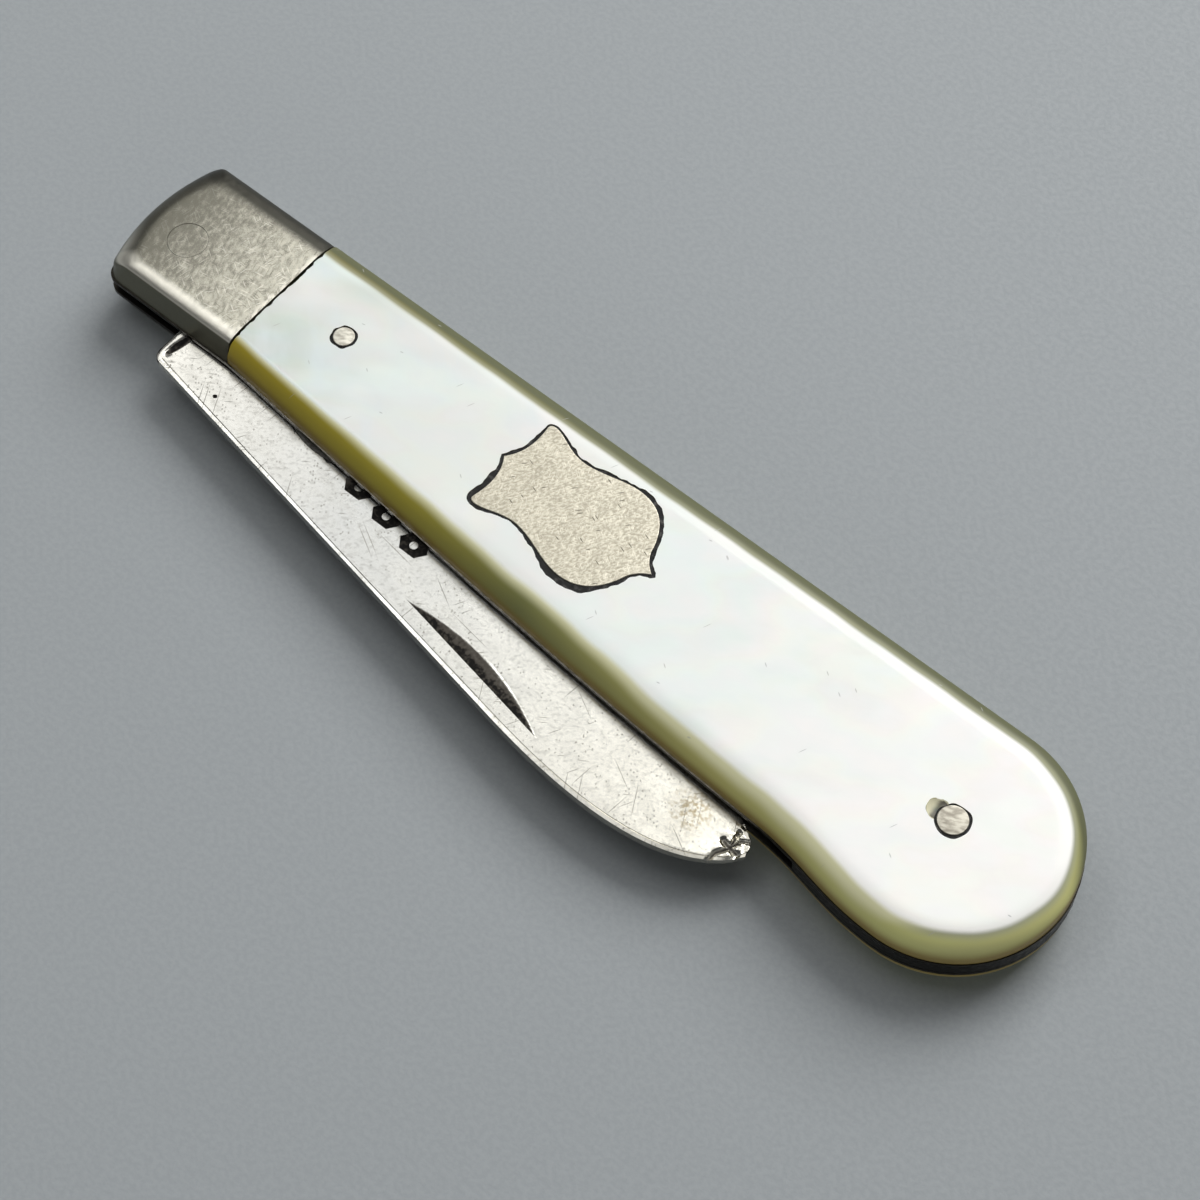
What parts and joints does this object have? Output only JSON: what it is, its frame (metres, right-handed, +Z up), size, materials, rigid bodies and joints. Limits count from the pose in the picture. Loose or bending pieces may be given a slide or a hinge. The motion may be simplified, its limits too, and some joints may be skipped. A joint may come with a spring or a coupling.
{
  "type": "folding fruit knife",
  "caption": "Slip-joint folding fruit knife with a silver blade, pearl scales, silver bolsters and a plain shield; the blade turns out of the handle on its pivot.",
  "frame": {"origin": "On the resting face under the lower scale, half way along the closed handle, on the line through the pivot", "axes": "+X along the handle from the pivot to the round butt, +Y towards the back, the blade slot opens to -Y, +Z up out of the side that carries the shield"},
  "size_m": [0.0818, 0.0215, 0.0059],
  "materials": {
    "blade_silver": "bright silver with fine specks and hairline scratches",
    "bolster_silver": "worn satin silver, faintly mottled",
    "shield_silver": "matt, granular, lightly tarnished silver",
    "pin_silver": "satin silver",
    "liner_metal": "dull nickel silver sheet",
    "spring_steel": "dull ground steel",
    "pearl": "polished mother-of-pearl, white with olive depth at the rounded edges"
  },
  "bodies": {
    "handle": {"upper_bolster": "bolster_silver", "lower_bolster": "bolster_silver", "upper_scale": "pearl", "lower_scale": "pearl", "upper_liner": "liner_metal", "lower_liner": "liner_metal", "shield": "shield_silver", "shield_pin_front": "liner_metal", "shield_pin_rear": "liner_metal", "pivot_pin": "bolster_silver", "butt_pin": "pin_silver", "upper_front_pin": "pin_silver", "lower_front_pin": "pin_silver", "spring_centre_pin": "spring_steel"},
    "blade": {"blade": "blade_silver"},
    "backspring": {"backspring": "spring_steel"}
  },
  "joints": [
    {"name": "blade_pivot", "type": "hinge", "parent": "handle", "child": "blade", "pos_m": [-0.0364, 0, 0.0029], "axis": [0, 0, -1], "range_deg": [0, 170]},
    {"name": "backspring_flex", "type": "hinge", "parent": "handle", "child": "backspring", "pos_m": [-0.0004, 0.00515, 0.0029], "axis": [0, 0, -1], "range_deg": [0, 0.4], "stiffness_Nm_per_rad": 5}
  ]
}
